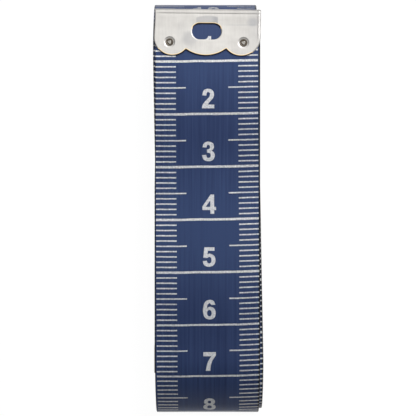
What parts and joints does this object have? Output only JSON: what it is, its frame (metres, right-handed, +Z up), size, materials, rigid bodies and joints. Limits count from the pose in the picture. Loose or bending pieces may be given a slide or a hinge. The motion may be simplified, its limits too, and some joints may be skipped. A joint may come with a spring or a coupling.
{
  "type": "cloth tape measure",
  "caption": "Tailor's tape of coated cloth, wound into a flat oblong coil, with folded metal tips and a free end that peels up.",
  "frame": {"origin": "middle of the coil's flat underside, on the surface that it lies on", "axes": "+X across the strip's width, +Y along the coil towards its zero-end tip, +Z up out of the front face"},
  "size_m": [0.021, 0.0806, 0.0189],
  "materials": {
    "tape": "navy coated woven strip, smooth with a slight sheen and a fine lengthwise rib",
    "tip": "bright nickel-plated sheet, brass-coloured at its sheared edges",
    "rivet": "small clinched brass rivet, dull in its dimple",
    "print": "silver-grey printed ink"
  },
  "bodies": {
    "coil": {"tape_coiled_turns": "tape", "inner_end_tip": "tip", "inner_end_rivet_left": "rivet", "inner_end_rivet_right": "rivet"},
    "free_end_1": {"tape_free_section_1": "tape", "zero_end_tip": "tip", "zero_end_rivet_left": "rivet", "zero_end_rivet_right": "rivet"},
    "free_end_2": {"tape_free_section_2": "tape"},
    "free_end_3": {"tape_free_section_3": "tape"},
    "free_end_4": {"tape_free_section_4": "tape"},
    "free_end_5": {"tape_free_section_5": "tape"}
  },
  "joints": [
    {"name": "peel_1", "type": "hinge", "parent": "free_end_2", "child": "free_end_1", "pos_m": [0, 0.02378, 0.01846], "axis": [1, 0, 0], "range_deg": [0, 40]},
    {"name": "peel_2", "type": "hinge", "parent": "free_end_3", "child": "free_end_2", "pos_m": [0, 0.00984, 0.01826], "axis": [1, 0, 0], "range_deg": [0, 40]},
    {"name": "peel_3", "type": "hinge", "parent": "free_end_4", "child": "free_end_3", "pos_m": [0, -0.0041, 0.01826], "axis": [1, 0, 0], "range_deg": [0, 40]},
    {"name": "peel_4", "type": "hinge", "parent": "free_end_5", "child": "free_end_4", "pos_m": [0, -0.01804, 0.01826], "axis": [1, 0, 0], "range_deg": [0, 40]},
    {"name": "peel_5", "type": "hinge", "parent": "coil", "child": "free_end_5", "pos_m": [0, -0.03526, 0.01637], "axis": [1, 0, 0], "range_deg": [0, 40]}
  ]
}
